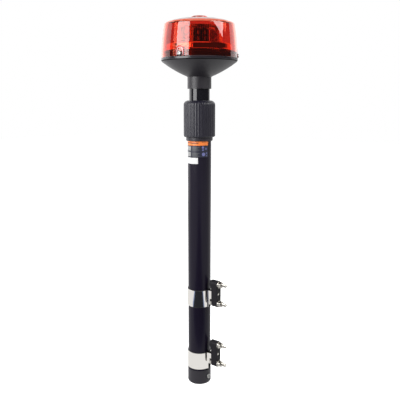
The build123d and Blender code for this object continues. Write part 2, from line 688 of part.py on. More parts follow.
def clamp_bracket(band_z, middle_z):
    """Moulded bracket with round ends that slides down over the band's hooked ears."""
    block = extrude(Plane.XZ * bracket_outline(), BRACKET_WIDTH / 2, both=True)
    block &= extrude(Plane.YZ * Rot(0, 0, 90) * SlotOverall(BRACKET_HEIGHT, BRACKET_WIDTH), BRACKET_FACE)
    block = fillet(block.faces().sort_by(Axis.X)[-1].edges(), BRACKET_ROUND)
    body = Pos(0, 0, middle_z) * block
    ear_y = EAR_HALF_GAP + BAND_THICK + SLOT_GAP
    low = middle_z - BRACKET_HEIGHT / 2 - 1
    slot_height = band_z + BAND_HEIGHT / 2 + 0.5 - low
    shelf = (Align.MIN, Align.CENTER, Align.MIN)
    hook_x = EAR_END - BAND_THICK - SLOT_GAP
    body -= Pos(0, 0, low) * Box(EAR_END + SLOT_GAP, 2 * ear_y, slot_height, align=shelf)
    body -= Pos(hook_x, 0, low) * Box(
        BAND_THICK + 2 * SLOT_GAP, 2 * (ear_y + EAR_HOOK), slot_height, align=shelf
    )
    bolt_hole = Cylinder(BOLT_R + BOLT_HOLE_GAP, BRACKET_FACE, align=ON_FLOOR)
    for side in (-1, 1):
        bolt_z = middle_z + side * BOLT_PITCH / 2
        body -= pointing(0, LOBE_BACK - 1, bolt_z) * bolt_hole
    pocket_r = BOLT_AF / 2 / cos(radians(30)) + SLOT_GAP
    pocket = Cylinder(pocket_r, BRACKET_BACK - LOBE_BACK + 1, align=ON_FLOOR)
    body -= pointing(0, LOBE_BACK - 1, middle_z + BOLT_PITCH / 2) * pocket
    lock_hole = Cylinder(LOCK_SCREW_R + SNUG, BRACKET_FACE, align=ON_FLOOR)
    body -= pointing(0, BRACKET_BACK - 1, middle_z) * lock_hole
    sink = Cylinder(LOCK_HEAD_R + SLOT_GAP, BRACKET_FACE, align=ON_FLOOR)
    return body - pointing(0, BRACKET_FACE - LOCK_SUNK - LOCK_HEAD_H, middle_z) * sink


def clamp_bolt():
    """A hexagon bolt along local Z, whose head's bearing face is at local Z 0."""
    body = Pos(0, 0, -BOLT_HEAD_H) * hexagon(BOLT_AF, BOLT_HEAD_H)
    grip = BRACKET_FACE + WASHER_THICK + NUT_H + STUD_RELIEF - BRACKET_BACK
    body += Cylinder(BOLT_CORE_R, grip + 1, align=ON_FLOOR)
    stud = Cylinder(BOLT_R, BOLT_TIP - BRACKET_BACK - grip, align=ON_FLOOR)
    return body + Pos(0, 0, grip) * chamfer(stud.edges().group_by(Axis.Z)[-1], BOLT_TIP_CHAMFER)


def clamp_washer():
    return Cylinder(WASHER_R, WASHER_THICK, align=ON_FLOOR) - Cylinder(BOLT_R + 0.2, 9)


def clamp_nut():
    body = hexagon(BOLT_AF, NUT_H)
    crown = Cylinder(BOLT_AF * 0.56, NUT_H, align=ON_FLOOR)
    crown = chamfer(crown.edges(), BOLT_AF * 0.05)
    return (body & crown) - Cylinder(BOLT_CORE_R + SNUG, 4 * NUT_H)


def bolt_set(shape, distance, middle_z):
    """The same fastener piece on both bolts of a bracket."""
    heights = (middle_z - BOLT_PITCH / 2, middle_z + BOLT_PITCH / 2)
    return [pointing(0, distance, height) * shape for height in heights]


def lock_screw(middle_z):
    screw = pan_screw(LOCK_HEAD_R, LOCK_HEAD_H, LOCK_SCREW_R, LOCK_SCREW_LENGTH)
    return pointing(0, BRACKET_FACE - LOCK_SUNK - LOCK_HEAD_H, middle_z) * screw


def clamp(name, band_z, rise):
    """All the pieces of one clamp, by node name."""
    middle_z = band_z + rise
    return {
        name + "_clamp_liner": clamp_liner(band_z),
        name + "_clamp_band": clamp_band(band_z, middle_z - BOLT_PITCH / 2),
        name + "_bracket": clamp_bracket(band_z, middle_z),
        name + "_bracket_bolts": bolt_set(clamp_bolt(), BRACKET_BACK, middle_z),
        name + "_bracket_washers": bolt_set(clamp_washer(), BRACKET_FACE, middle_z),
        name + "_bracket_nuts": bolt_set(clamp_nut(), BRACKET_FACE + WASHER_THICK, middle_z),
        name + "_lock_screw": lock_screw(middle_z),
    }


def all_nodes():
    nodes = {
        "end_cap": end_cap(),
        "end_cap_screw": end_cap_screw(),
        "outer_tube": outer_tube(),
        "threaded_bush": threaded_bush(),
        "collet": collet(),
        "grip_collar": grip_collar(),
        "wiper_seal": wiper_seal(),
        "guide_bush": guide_bush(),
        "inner_tube": inner_tube(),
        "stop_ring": stop_ring(),
        "foot_plug": foot_plug(),
        "battery_tray": battery_tray(),
        "battery_cells": battery_cells(),
        "contact_spring": contact_spring(),
        "contact_disc": contact_disc(),
        "beacon_bowl": beacon_bowl(),
        "lens_carrier": lens_carrier(),
        "carrier_screws": carrier_screws(),
        "circuit_board": circuit_board(),
        "light_post": light_post(),
        "light_chips": light_chips(),
        "reflector": reflector(),
        "drum_optic": drum_optic(),
        "lens_seal": lens_seal(),
        "lens": lens(),
        "lens_screws": lens_screws(),
    }
    for name, (band_z, rise) in CLAMPS.items():
        nodes.update(clamp(name, band_z, rise))
    return nodes


os.makedirs("parts", exist_ok=True)
for node, shape in all_nodes().items():
    if isinstance(shape, list):
        shape = Compound(children=shape)
    export_step(shape, "parts/" + node + ".step")
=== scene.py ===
import json
import math
import bmesh
import bpy
from mathutils import Matrix, Vector


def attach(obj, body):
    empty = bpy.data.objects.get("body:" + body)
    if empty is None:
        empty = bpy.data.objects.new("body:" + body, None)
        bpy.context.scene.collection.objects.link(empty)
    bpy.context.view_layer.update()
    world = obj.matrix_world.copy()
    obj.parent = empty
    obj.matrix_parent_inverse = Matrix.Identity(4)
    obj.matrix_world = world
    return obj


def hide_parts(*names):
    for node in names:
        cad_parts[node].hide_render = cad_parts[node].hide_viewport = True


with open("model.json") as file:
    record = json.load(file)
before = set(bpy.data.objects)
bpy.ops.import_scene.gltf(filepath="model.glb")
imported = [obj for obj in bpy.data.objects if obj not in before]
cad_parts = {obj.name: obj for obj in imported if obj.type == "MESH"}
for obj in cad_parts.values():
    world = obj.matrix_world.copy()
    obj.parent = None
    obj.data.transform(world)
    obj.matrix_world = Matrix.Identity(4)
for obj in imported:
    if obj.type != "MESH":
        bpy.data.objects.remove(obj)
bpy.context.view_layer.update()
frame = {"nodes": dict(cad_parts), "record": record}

MM = 0.001

# Camera, found from the photograph's perspective
PHOTO_SIDE = 400.0
FOCAL_PIXELS = 556.0
CAMERA_AZIMUTH = 36.87
CAMERA_PITCH = 10.0
CAMERA_DISTANCE = 0.944
CAMERA_HEIGHT = 0.499
CAMERA_RIGHT = 0.001

AZIMUTH = math.radians(CAMERA_AZIMUTH)
RIGHT = Vector((math.cos(AZIMUTH), math.sin(AZIMUTH), 0))
TOWARDS = Vector((math.sin(AZIMUTH), -math.cos(AZIMUTH), 0))


def from_camera(angle, distance, height):
    """A place at an angle from the camera's side of the mast, positive to the picture's right."""
    turn = math.radians(angle)
    flat = TOWARDS * math.cos(turn) + RIGHT * math.sin(turn)
    return flat * distance + Vector((0, 0, height))


def make_camera():
    data = bpy.data.cameras.new("photo_camera")
    data.sensor_width = 36.0
    data.lens = FOCAL_PIXELS / PHOTO_SIDE * data.sensor_width
    data.clip_start = 0.01
    data.clip_end = 50.0
    camera = bpy.data.objects.new("photo_camera", data)
    bpy.context.scene.collection.objects.link(camera)
    pitch = math.radians(CAMERA_PITCH)
    back = TOWARDS * math.cos(pitch) + Vector((0, 0, math.sin(pitch)))
    place = TOWARDS * CAMERA_DISTANCE + RIGHT * CAMERA_RIGHT
    camera.location = place + Vector((0, 0, CAMERA_HEIGHT))
    camera.rotation_mode = "QUATERNION"
    camera.rotation_quaternion = back.to_track_quat("Z", "Y")
    bpy.context.scene.camera = camera


# Node helpers

def node(tree, kind, **settings):
    made = tree.nodes.new(kind)
    for name, value in settings.items():
        setattr(made, name, value)
    return made


def set_inputs(made, **values):
    for name, value in values.items():
        made.inputs[name.replace("_", " ")].default_value = value
    return made


def effect_group(name, inputs, outputs):
    """An empty shader group with named sockets: {name: (kind, value)}."""
    tree = bpy.data.node_groups.new(name, "ShaderNodeTree")
    for label, (kind, value) in inputs.items():
        socket = tree.interface.new_socket(label, in_out="INPUT", socket_type="NodeSocket" + kind)
        if value is not None:
            socket.default_value = value
    for label, kind in outputs.items():
        tree.interface.new_socket(label, in_out="OUTPUT", socket_type="NodeSocket" + kind)
    return tree, tree.nodes.new("NodeGroupInput"), tree.nodes.new("NodeGroupOutput")


def span(tree, value, low, high):
    """Maps a 0 to 1 value on to a range."""
    mapped = node(tree, "ShaderNodeMapRange")
    mapped.inputs["To Min"].default_value = low
    mapped.inputs["To Max"].default_value = high
    tree.links.new(value, mapped.inputs["Value"])
    return mapped.outputs["Result"]


def ramp(tree, value, start, end):
    """0 below start and 1 above end, smooth between."""
    made = node(tree, "ShaderNodeMapRange", interpolation_type="SMOOTHSTEP")
    made.inputs["From Min"].default_value = start
    made.inputs["From Max"].default_value = end
    tree.links.new(value, made.inputs["Value"])
    return made.outputs["Result"]


def times(tree, first, second):
    made = node(tree, "ShaderNodeMath", operation="MULTIPLY")
    tree.links.new(first, made.inputs[0])
    tree.links.new(second, made.inputs[1])
    return made.outputs[0]


def mix_of(tree, factor, first, second):
    """The first shader at 0 and the second at 1."""
    made = node(tree, "ShaderNodeMixShader")
    tree.links.new(factor, made.inputs["Fac"])
    tree.links.new(first, made.inputs[1])
    tree.links.new(second, made.inputs[2])
    return made.outputs["Shader"]


def grain_effect():
    """Fine moulded or sprayed texture: a height, and a slow change of tone."""
    tree, given, result = effect_group(
        "surface_grain",
        {"Vector": ("Vector", None), "Scale": ("Float", 900.0)},
        {"Height": "Float", "Tone": "Float"},
    )
    fine = node(tree, "ShaderNodeTexNoise")
    set_inputs(fine, Detail=3.0, Roughness=0.6)
    slow = node(tree, "ShaderNodeTexNoise")
    set_inputs(slow, Scale=22.0, Detail=2.0)
    tree.links.new(given.outputs["Vector"], fine.inputs["Vector"])
    tree.links.new(given.outputs["Scale"], fine.inputs["Scale"])
    tree.links.new(given.outputs["Vector"], slow.inputs["Vector"])
    tree.links.new(fine.outputs["Fac"], result.inputs["Height"])
    tree.links.new(slow.outputs["Fac"], result.inputs["Tone"])
    return tree


def streak_effect():
    """Fine streaks along a direction set by the vector's scale, as rolling or polishing leaves."""
    tree, given, result = effect_group(
        "fine_streaks",
        {"Vector": ("Vector", None), "Stretch": ("Vector", (40.0, 40.0, 2600.0))},
        {"Streak": "Float"},
    )
    stretched = node(tree, "ShaderNodeVectorMath", operation="MULTIPLY")
    noise = node(tree, "ShaderNodeTexNoise")
    set_inputs(noise, Scale=1.0, Detail=4.0, Roughness=0.65)
    tree.links.new(given.outputs["Vector"], stretched.inputs[0])
    tree.links.new(given.outputs["Stretch"], stretched.inputs[1])
    tree.links.new(stretched.outputs["Vector"], noise.inputs["Vector"])
    tree.links.new(noise.outputs["Fac"], result.inputs["Streak"])
    return tree


def scuff_effect():
    """Thin random scratches from handling, as a mask."""
    tree, given, result = effect_group(
        "handling_scuffs",
        {"Vector": ("Vector", None), "Scale": ("Float", 60.0), "Amount": ("Float", 0.5)},
        {"Mask": "Float"},
    )
    warp = node(tree, "ShaderNodeTexNoise")
    set_inputs(warp, Scale=35.0, Detail=3.0)
    lines = node(tree, "ShaderNodeTexVoronoi", feature="DISTANCE_TO_EDGE")
    mixed = node(tree, "ShaderNodeMix", data_type="VECTOR")
    mixed.inputs["Factor"].default_value = 0.06
    narrow = node(tree, "ShaderNodeMapRange")
    set_inputs(narrow, From_Max=0.012, To_Min=1.0, To_Max=0.0)
    limit = node(tree, "ShaderNodeMath", operation="MULTIPLY", use_clamp=True)
    vector_a, vector_b = [s for s in mixed.inputs if s.type == "VECTOR" and s.enabled][:2]
    tree.links.new(given.outputs["Vector"], warp.inputs["Vector"])
    tree.links.new(given.outputs["Vector"], vector_a)
    tree.links.new(warp.outputs["Color"], vector_b)
    tree.links.new([s for s in mixed.outputs if s.enabled][0], lines.inputs["Vector"])
    tree.links.new(given.outputs["Scale"], lines.inputs["Scale"])
    tree.links.new(lines.outputs["Distance"], narrow.inputs["Value"])
    patches = span(tree, warp.outputs["Fac"], -1.2, 1.6)
    tree.links.new(times(tree, narrow.outputs["Result"], patches), limit.inputs[0])
    tree.links.new(given.outputs["Amount"], limit.inputs[1])
    tree.links.new(limit.outputs[0], result.inputs["Mask"])
    return tree


GRAIN = grain_effect()
STREAKS = streak_effect()
SCUFFS = scuff_effect()


# Finishes

def new_material(name, **sockets):
    """A material with its Principled shader's plain values set."""
    material = bpy.data.materials.new(name)
    material.use_nodes = True
    shader = material.node_tree.nodes["Principled BSDF"]
    for label, value in sockets.items():
        shader.inputs[label.replace("_", " ")].default_value = value
    return material, material.node_tree, shader


def place_effect(tree, effect, coordinates, **values):
    made = node(tree, "ShaderNodeGroup", node_tree=effect)
    for label, value in values.items():
        made.inputs[label].default_value = value
    tree.links.new(coordinates, made.inputs["Vector"])
    return made


def tint(tree, shader, factor, plain, worn):
    """Mixes two colours by a factor into the shader's colour."""
    mix = node(tree, "ShaderNodeMix", data_type="RGBA")
    mix.inputs[6].default_value = (*plain, 1)
    mix.inputs[7].default_value = (*worn, 1)
    tree.links.new(factor, mix.inputs["Factor"])
    tree.links.new(mix.outputs[2], shader.inputs["Base Color"])


def dark_finish(name, colour, roughness, grain_scale, grain_height, lighter=1.5, **sockets):
    """Black plastic or coating: grain, uneven sheen and faint handling scuffs."""
    material, tree, shader = new_material(name, **sockets)
    place = node(tree, "ShaderNodeTexCoord").outputs["Object"]
    grain = place_effect(tree, GRAIN, place, Scale=grain_scale)
    worn = place_effect(tree, SCUFFS, place, Scale=70.0, Amount=0.5)
    tint(tree, shader, worn.outputs["Mask"], colour, [channel * lighter for channel in colour])
    tree.links.new(span(tree, grain.outputs["Tone"], roughness - 0.06, roughness + 0.06),
                   shader.inputs["Roughness"])
    bump = node(tree, "ShaderNodeBump")
    set_inputs(bump, Strength=0.6, Distance=grain_height)
    tree.links.new(grain.outputs["Height"], bump.inputs["Height"])
    tree.links.new(bump.outputs["Normal"], shader.inputs["Normal"])
    return material


def metal_finish(name, colour, roughness, stretch, depth):
    """Bare metal with fine streaks and faint scuffs."""
    material, tree, shader = new_material(name, Metallic=1.0)
    place = node(tree, "ShaderNodeTexCoord").outputs["Object"]
    streaks = place_effect(tree, STREAKS, place, Stretch=stretch)
    worn = place_effect(tree, SCUFFS, place, Scale=90.0, Amount=0.35)
    tint(tree, shader, worn.outputs["Mask"], colour, [channel * 0.8 for channel in colour])
    tree.links.new(span(tree, streaks.outputs["Streak"], roughness * 0.6, roughness * 1.4),
                   shader.inputs["Roughness"])
    bump = node(tree, "ShaderNodeBump")
    set_inputs(bump, Strength=0.5, Distance=depth)
    tree.links.new(streaks.outputs["Streak"], bump.inputs["Height"])
    tree.links.new(bump.outputs["Normal"], shader.inputs["Normal"])
    return material


def groove_shade_effect():
    """Mask of upright grooves round the axis, where painted shade goes."""
    tree, given, result = effect_group(
        "painted_groove_shade",
        {"Vector": ("Vector", None), "Count": ("Float", 60.0)},
        {"Groove": "Float"},
    )
    parts = node(tree, "ShaderNodeSeparateXYZ")
    tree.links.new(given.outputs["Vector"], parts.inputs["Vector"])
    angle = node(tree, "ShaderNodeMath", operation="ARCTAN2")
    tree.links.new(parts.outputs["Y"], angle.inputs[0])
    tree.links.new(parts.outputs["X"], angle.inputs[1])
    wave = node(tree, "ShaderNodeMath", operation="COSINE")
    tree.links.new(times(tree, angle.outputs[0], given.outputs["Count"]), wave.inputs[0])
    tree.links.new(ramp(tree, wave.outputs[0], 0.2, 0.6), result.inputs["Groove"])
    return tree


FLUTES = groove_shade_effect()


def clear_finish(name, colour, roughness, shadow):
    """Clear moulding; light that comes from what it covers passes it as through a pale veil."""
    material, tree, shader = new_material(
        name, Base_Color=(*colour, 1), Transmission_Weight=1.0, IOR=1.49
    )
    place = node(tree, "ShaderNodeTexCoord").outputs["Object"]
    grain = place_effect(tree, GRAIN, place, Scale=40.0)
    tree.links.new(span(tree, grain.outputs["Tone"], roughness * 0.5, roughness * 1.5),
                   shader.inputs["Roughness"])
    path = node(tree, "ShaderNodeLightPath")
    veil = node(tree, "ShaderNodeBsdfTransparent")
    veil.inputs["Color"].default_value = (*shadow, 1)
    mirrored = node(tree, "ShaderNodeMath", operation="SUBTRACT", use_clamp=True)
    bounced = node(tree, "ShaderNodeMath", operation="MAXIMUM")
    indirect = node(tree, "ShaderNodeMath", operation="MAXIMUM")
    tree.links.new(path.outputs["Is Glossy Ray"], mirrored.inputs[0])
    tree.links.new(path.outputs["Is Transmission Ray"], mirrored.inputs[1])
    tree.links.new(mirrored.outputs[0], bounced.inputs[0])
    tree.links.new(path.outputs["Is Diffuse Ray"], bounced.inputs[1])
    tree.links.new(path.outputs["Is Shadow Ray"], indirect.inputs[0])
    tree.links.new(bounced.outputs[0], indirect.inputs[1])
    shown = mix_of(tree, indirect.outputs[0], shader.outputs["BSDF"], veil.outputs["BSDF"])
    tree.links.new(shown, tree.nodes["Material Output"].inputs["Surface"])
    return material


def fluted_finish(name, colour, groove_shade, roughness, shadow):
    """Clear moulding with painted shade: a dark colour in its grooves stands in for the shade
    there.
    """
    material = clear_finish(name, colour, roughness, shadow)
    tree = material.node_tree
    place = node(tree, "ShaderNodeTexCoord").outputs["Object"]
    mask = place_effect(tree, FLUTES, place)
    # painted shade: the grooves take the dark colour
    tint(tree, tree.nodes["Principled BSDF"], mask.outputs["Groove"], colour, groove_shade)
    return material


MATERIALS = {
    "black_moulding": dark_finish("matt_moulding", (0.015, 0.013, 0.019), 0.42, 1500.0, 0.00006,
                                  Specular_IOR_Level=0.4),
    "gloss_moulding": dark_finish("gloss_moulding", (0.012, 0.011, 0.012), 0.25, 900.0, 0.00002),
    "grip_black": dark_finish("grip_moulding", (0.01, 0.009, 0.017), 0.4, 1700.0, 0.00005,
                              Specular_IOR_Level=0.4),
    "black_tube": dark_finish("satin_coating", (0.008, 0.006, 0.014), 0.22, 2200.0, 0.00002,
                              Specular_IOR_Level=0.17),
    "gloss_tube": dark_finish("gloss_coating", (0.006, 0.006, 0.008), 0.12, 300.0, 0.00001),
    "rubber": dark_finish("soft_rubber", (0.012, 0.012, 0.012), 0.7, 1500.0, 0.00005),
    "polished_steel": metal_finish(
        "polished_strip", (0.8, 0.775, 0.74), 0.08, (25.0, 25.0, 1800.0), 0.00001
    ),
    "zinc_steel": metal_finish(
        "bright_zinc", (0.52, 0.5, 0.46), 0.24, (900.0, 900.0, 900.0), 0.00002
    ),
    "chrome_screw": metal_finish(
        "bright_screw", (0.36, 0.36, 0.35), 0.34, (700.0, 700.0, 700.0), 0.00001
    ),
    # painted shade: the metal is kept very dark so the lamp's middle reads as shaded
    "aluminium": metal_finish(
        "shade_darkened_metal", (0.09, 0.08, 0.08), 0.35, (60.0, 60.0, 1500.0), 0.00001
    ),
    "brass": metal_finish("contact_brass", (0.75, 0.6, 0.3), 0.25, (500.0, 500.0, 60.0), 0.00001),
    "mirror_finish": metal_finish(
        "metallised_skin", (0.85, 0.8, 0.7), 0.1, (30.0, 30.0, 400.0), 0.00001
    ),
    "cell_wrap": dark_finish("cell_wrap", (0.3, 0.31, 0.33), 0.35, 400.0, 0.00001),
    "board_green": dark_finish("solder_mask", (0.02, 0.12, 0.05), 0.35, 700.0, 0.00002),
    "chip_white": dark_finish("phosphor", (0.3, 0.2, 0.06), 0.4, 900.0, 0.00001, lighter=0.9),
    # the drum's flute valleys get painted shade in a near black red
    "clear_optic": fluted_finish(
        "clear_optic", (0.93, 0.88, 0.84), (0.05, 0.02, 0.02), 0.03, (0.9, 0.86, 0.82)
    ),
    "red_lens": clear_finish("red_lens", (0.72, 0.135, 0.105), 0.012, (0.95, 0.42, 0.26)),
}


BRACKET_FINISH = dark_finish("bracket_moulding", (0.013, 0.012, 0.015), 0.5, 1500.0, 0.00005,
                             Specular_IOR_Level=0.12)


RIM_FOOT = 0.5658        # height of the bowl's rim, in m
# painted shade: a near black line in the groove under the rim starts here
SHADE_LINE_FOOT = 0.5644       # dark line in the groove under it


def bowl_finish():
    """Moulding with a smoother rim above a line of painted shade in the groove under it."""
    colour = (0.016, 0.014, 0.018)
    material = dark_finish("bowl_moulding", colour, 0.42, 1500.0, 0.00006)
    tree = material.node_tree
    shader = tree.nodes["Principled BSDF"]
    parts = node(tree, "ShaderNodeSeparateXYZ")
    tree.links.new(node(tree, "ShaderNodeTexCoord").outputs["Object"], parts.inputs["Vector"])
    height = parts.outputs["Z"]
    rim = ramp(tree, height, RIM_FOOT, RIM_FOOT + 0.0005)
    line = times(tree, ramp(tree, height, SHADE_LINE_FOOT, SHADE_LINE_FOOT + 0.0004),
                 ramp(tree, height, RIM_FOOT, RIM_FOOT - 0.0004))
    # painted shade: near black and without sheen in the groove
    tint(tree, shader, line, colour, (0.001, 0.001, 0.001))
    tree.links.new(span(tree, line, 0.42, 0.0), shader.inputs["Specular IOR Level"])
    tree.links.new(span(tree, rim, 0.42, 0.2), shader.inputs["Roughness"])
    return material


OWN_FINISHES = {"lower_bracket": BRACKET_FINISH, "upper_bracket": BRACKET_FINISH,
                "beacon_bowl": bowl_finish()}


def dress_cad_nodes():
    """Gives every CAD node the finish of its slot, or its own."""
    slots = {row["node"]: row["material_slot"] for row in frame["record"]["subparts"]}
    for name, piece in frame["nodes"].items():
        material = OWN_FINISHES.get(name, MATERIALS[slots[name]])
        piece.data.materials.clear()
        piece.data.materials.append(material)


# Pieces made here, with sizes in mm and degrees

def mesh_object(name, shape, *materials):
    """An object from a bmesh, linked to the scene and left at the origin."""
    mesh = bpy.data.meshes.new(name)
    shape.to_mesh(mesh)
    shape.free()
    for material in materials:
        mesh.materials.append(material)
    made = bpy.data.objects.new(name, mesh)
    bpy.context.scene.collection.objects.link(made)
    return made


def plain_finish(name, colour, roughness=0.4):
    """One colour with a slightly uneven sheen."""
    material, tree, shader = new_material(name, Base_Color=(*colour, 1))
    place = node(tree, "ShaderNodeTexCoord").outputs["Object"]
    grain = place_effect(tree, GRAIN, place, Scale=1200.0)
    tree.links.new(span(tree, grain.outputs["Tone"], roughness - 0.05, roughness + 0.05),
                   shader.inputs["Roughness"])
    return material


TUBE_R = 20.0
FILM = 0.05              # thickness of a printed layer
LABEL_TOP = 435.5        # heights on the tube
HEADER_FOOT = 427.5
FIELD_FOOT = 408.0
STICKER_TOP = 407.2
STICKER_FOOT = 396.9
LABEL_LEFT = -112.0      # angles round the tube from the camera's side
LABEL_RIGHT = 46.8
STICKER_RIGHT = -6.8


def rounded_box(left, right, low, high, radius):
    """Outline of a box with round corners."""
    points = []
    for x, y, start in ((right, high, 0), (left, high, 90), (left, low, 180), (right, low, 270)):
        inside_x = x - math.copysign(radius, x - (left + right) / 2)
        inside_y = y - math.copysign(radius, y - (low + high) / 2)
        for step in range(5):
            turn = math.radians(start + 22.5 * step)
            points.append((inside_x + radius * math.cos(turn), inside_y + radius * math.sin(turn)))
    return points


def regular(x, y, radius, corners, start=0.0):
    turns = [math.radians(start + 360 * step / corners) for step in range(corners)]
    return [(x + radius * math.cos(turn), y + radius * math.sin(turn)) for turn in turns]


def at_angle(angle):
    """Arc length on the tube for an angle from the camera's side."""
    return TUBE_R * math.radians(angle)


def wrap_patch(shape, outline, layer, slot):
    """Adds a thin convex patch, drawn flat, wrapped round the tube."""
    flat = bmesh.new()
    flat.faces.new([flat.verts.new((x, y, 0)) for x, y in outline])
    low = min(x for x, y in outline)
    high = max(x for x, y in outline)
    for step in range(1, int(high - low) + 1):
        everything = flat.verts[:] + flat.edges[:] + flat.faces[:]
        cut = (low + step, 0, 0)
        bmesh.ops.bisect_plane(flat, geom=everything, plane_co=cut, plane_no=(1, 0, 0))
    lifted = bmesh.ops.extrude_face_region(flat, geom=flat.faces[:])["geom"]
    tops = {corner for corner in lifted if isinstance(corner, bmesh.types.BMVert)}
    for corner in flat.verts:
        radius = TUBE_R + FILM * (layer + 1 if corner in tops else 0.2)
        turn = corner.co.x / TUBE_R + AZIMUTH - math.pi / 2
        corner.co = Vector((radius * math.cos(turn), radius * math.sin(turn), corner.co.y)) * MM
    for face in flat.faces:
        face.material_index = slot
    bmesh.ops.recalc_face_normals(flat, faces=flat.faces[:])
    part = bpy.data.meshes.new("patch")
    flat.to_mesh(part)
    flat.free()
    shape.from_mesh(part)
    bpy.data.meshes.remove(part)


def make_label():
    """Colour fields and simple shapes where the mast's label is."""
    shape = bmesh.new()
    left, right = at_angle(LABEL_LEFT), at_angle(LABEL_RIGHT)
    wrap_patch(shape, rounded_box(left, right, FIELD_FOOT, HEADER_FOOT - 0.1, 0.8), 0, 1)
    wrap_patch(shape, rounded_box(left, right, HEADER_FOOT, LABEL_TOP, 1.6), 0, 0)
    bar = rounded_box(at_angle(-80), at_angle(-3), 430.8, 432.3, 0.7)
    wrap_patch(shape, bar, 1, 5)
    sticker = rounded_box(left, at_angle(STICKER_RIGHT), STICKER_FOOT, STICKER_TOP, 0.5)
    wrap_patch(shape, sticker, 0, 2)
    for foot in (419.0, 409.0):
        for start, end in ((-84, -72), (-70, -59), (-57, -47)):
            tile = rounded_box(at_angle(start), at_angle(end), foot, foot + 7.4, 0.4)
            wrap_patch(shape, tile, 1, 6)
        for rise in (0.6, 2.8, 5.0):
            end = 1 if rise != 2.8 else -7
            line = rounded_box(at_angle(-40), at_angle(end), foot + rise, foot + rise + 1.2, 0.4)
            wrap_patch(shape, line, 1, 3)
    wrap_patch(shape, regular(at_angle(17), 424.4, 2.0, 20), 1, 4)
    wrap_patch(shape, regular(at_angle(33), 422.2, 2.3, 3, 90), 1, 4)
    wrap_patch(shape, rounded_box(at_angle(13), at_angle(21), 419.2, 421.2, 0.4), 1, 4)
    wrap_patch(shape, regular(at_angle(20.5), 412.9, 2.9, 24), 1, 4)
    wrap_patch(shape, rounded_box(at_angle(33), at_angle(40), 413.6, 416.0, 0.4), 1, 4)
    wrap_patch(shape, regular(at_angle(36.5), 410.8, 1.3, 4, 45), 1, 4)
    colours = (
        ("label_orange", (0.80, 0.2, 0.035)),
        ("label_navy", (0.012, 0.013, 0.028)),
        ("label_white", (0.66, 0.66, 0.66)),
        ("label_grey", (0.07, 0.07, 0.075)),
        ("label_blue", (0.13, 0.14, 0.32)),
        ("label_brown", (0.06, 0.02, 0.012)),
        ("label_tile", (0.34, 0.34, 0.34)),
    )
    label = mesh_object("mast_label", shape, *[plain_finish(name, tone) for name, tone in colours])
    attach(label, "mast")


# Repeated forms

def copies_tree():
    """Tree that repeats a piece round Z and along a step, then joins the copies."""
    tree = bpy.data.node_groups.new("repeat_piece", "GeometryNodeTree")
    sockets = (("Geometry", "Geometry"), ("Piece", "Object"), ("Count", "Int"), ("Turn", "Float"),
               ("Step", "Vector"), ("Surface", "Material"))
    for label, kind in sockets:
        tree.interface.new_socket(label, in_out="INPUT", socket_type="NodeSocket" + kind)
    tree.interface.new_socket("Geometry", in_out="OUTPUT", socket_type="NodeSocketGeometry")
    given = node(tree, "NodeGroupInput").outputs
    index = node(tree, "GeometryNodeInputIndex").outputs["Index"]
    angle = node(tree, "ShaderNodeMath", operation="MULTIPLY")
    tree.links.new(index, angle.inputs[0])
    tree.links.new(given["Turn"], angle.inputs[1])
    spin = node(tree, "ShaderNodeCombineXYZ")
    tree.links.new(angle.outputs[0], spin.inputs["Z"])
    place = node(tree, "ShaderNodeVectorMath", operation="SCALE")
    tree.links.new(given["Step"], place.inputs[0])
    tree.links.new(index, place.inputs["Scale"])
    points = node(tree, "GeometryNodePoints")
    tree.links.new(given["Count"], points.inputs["Count"])
    tree.links.new(place.outputs[0], points.inputs["Position"])
    piece = node(tree, "GeometryNodeObjectInfo")
    tree.links.new(given["Piece"], piece.inputs["Object"])
    copies = node(tree, "GeometryNodeInstanceOnPoints")
    tree.links.new(points.outputs["Points"], copies.inputs["Points"])
    tree.links.new(piece.outputs["Geometry"], copies.inputs["Instance"])
    tree.links.new(spin.outputs["Vector"], copies.inputs["Rotation"])
    real = node(tree, "GeometryNodeRealizeInstances")
    tree.links.new(copies.outputs["Instances"], real.inputs[0])
    weld = node(tree, "GeometryNodeMergeByDistance")
    weld.inputs["Distance"].default_value = 0.00001
    tree.links.new(real.outputs[0], weld.inputs["Geometry"])
    dress = node(tree, "GeometryNodeSetMaterial")
    tree.links.new(weld.outputs["Geometry"], dress.inputs["Geometry"])
    tree.links.new(given["Surface"], dress.inputs["Material"])
    out = node(tree, "NodeGroupOutput")
    tree.links.new(dress.outputs["Geometry"], out.inputs["Geometry"])
    return tree


REPEAT = copies_tree()


def repeated(name, piece, count, surface, turn=0.0, step=(0, 0, 0)):
    """A finished object of joined copies; the piece itself is used up."""
    made = bpy.data.objects.new(name, bpy.data.meshes.new(name))
    bpy.context.scene.collection.objects.link(made)
    modifier = made.modifiers.new("repeat", "NODES")
    modifier.node_group = REPEAT
    values = {"Piece": piece, "Count": count, "Turn": turn, "Step": step, "Surface": surface}
    for socket in REPEAT.interface.items_tree:
        if socket.in_out == "INPUT" and socket.name in values:
            modifier[socket.identifier] = values[socket.name]
    made.update_tag()
    bpy.context.view_layer.update()
    whole = made.evaluated_get(bpy.context.evaluated_depsgraph_get())
    mesh = bpy.data.meshes.new_from_object(whole)
    mesh.name = name
    made.modifiers.clear()
    made.data = mesh
    bpy.data.objects.remove(piece)
    return made


SHARP_TURN = math.radians(24)       # edges that turn more stay crisp


